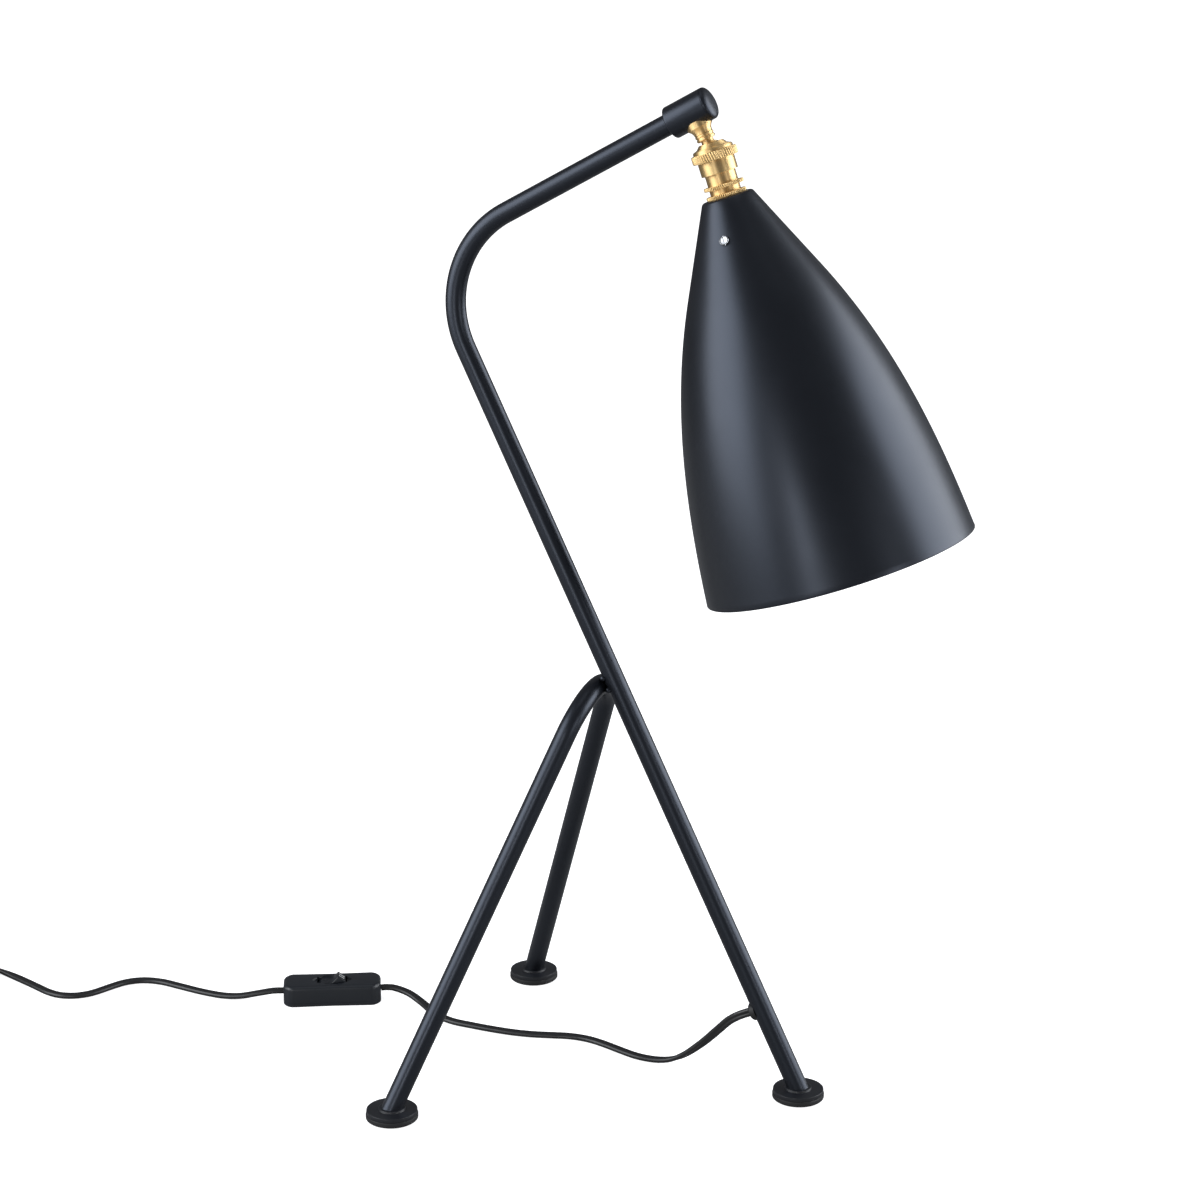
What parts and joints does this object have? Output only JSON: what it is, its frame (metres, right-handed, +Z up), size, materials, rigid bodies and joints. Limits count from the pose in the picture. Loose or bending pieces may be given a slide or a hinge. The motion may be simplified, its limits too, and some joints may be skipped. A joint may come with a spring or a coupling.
{
  "type": "desk lamp",
  "caption": "Desk lamp with a leaning bent-tube stand on padded feet, a brass ball joint and a spun bell shade, with a flat lead, an inline rocker switch and a plug.",
  "frame": {"origin": "on the ground under the middle of the lamp's length, between the rear feet and the shade's rim", "axes": "+Z up, +X the way the arm and the shade reach, +Y to the left of that"},
  "size_m": [0.7257, 0.2684, 0.5926],
  "materials": {
    "tube_enamel": "satin black enamel",
    "foot_enamel": "satin black enamel",
    "pad_rubber": "matte",
    "sleeve_enamel": "satin black enamel",
    "turned_brass": "turned and lacquered, satin",
    "bush_rubber": "smooth",
    "lead_sheath": "satin black sheath",
    "plated_steel": "zinc plated",
    "nylon": "natural",
    "shade_enamel": "satin black enamel",
    "bright_screws": "bright",
    "holder_plastic": "moulded black",
    "porcelain": "glazed white",
    "contact_brass": "plain",
    "cap_aluminium": "plain",
    "opal_glass": "opal white",
    "switch_plastic": "fine satin black",
    "tie_plastic": "black",
    "plug_plastic": "black",
    "pin_metal": "nickel plated"
  },
  "bodies": {
    "stand": {"main_tube": "tube_enamel", "rear_leg_tube": "tube_enamel", "weld_beads": "tube_enamel", "front_foot": "foot_enamel", "rear_foot_left": "foot_enamel", "rear_foot_right": "foot_enamel", "foot_pads": "pad_rubber", "arm_sleeve": "sleeve_enamel", "sleeve_plug": "sleeve_enamel", "flared_seat": "turned_brass", "lead_bush": "bush_rubber", "inner_lead": "lead_sheath", "lead_first": "lead_sheath", "switch_top": "switch_plastic", "switch_base": "switch_plastic", "rocker_pin": "plated_steel", "switch_contacts": "contact_brass", "switch_screws": "plated_steel", "lead_second": "lead_sheath", "lead_coil": "lead_sheath", "coil_tie": "tie_plastic", "lead_tail": "lead_sheath", "plug_sleeve": "plug_plastic", "plug_body": "plug_plastic", "plug_pins": "pin_metal"},
    "stem": {"ball_stem": "turned_brass", "stem_nut": "plated_steel"},
    "washer": {"ball_washer": "nylon"},
    "head": {"joint_body": "turned_brass", "upper_ring": "turned_brass", "shade_ring": "turned_brass", "threaded_tube": "plated_steel", "shade": "shade_enamel", "shade_carrier": "plated_steel", "shade_screws": "bright_screws", "carrier_nut": "plated_steel", "holder_cap": "holder_plastic", "holder_shell": "holder_plastic", "holder_core": "porcelain", "holder_thread": "contact_brass", "holder_contact": "contact_brass", "head_lead": "lead_sheath", "bulb_cap": "cap_aluminium", "bulb_glass": "opal_glass"},
    "clamp_collar": {"collar": "turned_brass"},
    "rocker": {"switch_rocker": "switch_plastic"}
  },
  "joints": [
    {"name": "head_pan", "type": "hinge", "parent": "stand", "child": "stem", "pos_m": [0.00982, 0, 0.5559], "axis": [-0.4848, 0, 0.8746], "range_deg": [-90, 90]},
    {"name": "head_tilt", "type": "hinge", "parent": "stem", "child": "washer", "pos_m": [0.00982, 0, 0.5559], "axis": [0, 1, 0], "range_deg": [-30, 9.5]},
    {"name": "head_spin", "type": "hinge", "parent": "washer", "child": "head", "pos_m": [0.00982, 0, 0.5559], "axis": [-0.3223, 0, 0.9466], "range_deg": [-160, 160]},
    {"name": "collar_turn", "type": "hinge", "parent": "head", "child": "clamp_collar", "pos_m": [0.00982, 0, 0.5559], "axis": [-0.3223, 0, 0.9466], "range_deg": [0, 120]},
    {"name": "rocker_tilt", "type": "hinge", "parent": "stand", "child": "rocker", "pos_m": [-0.253, 0.0323, 0.0098], "axis": [-0.4226, 0.9063, 0], "range_deg": [0, 24]}
  ]
}
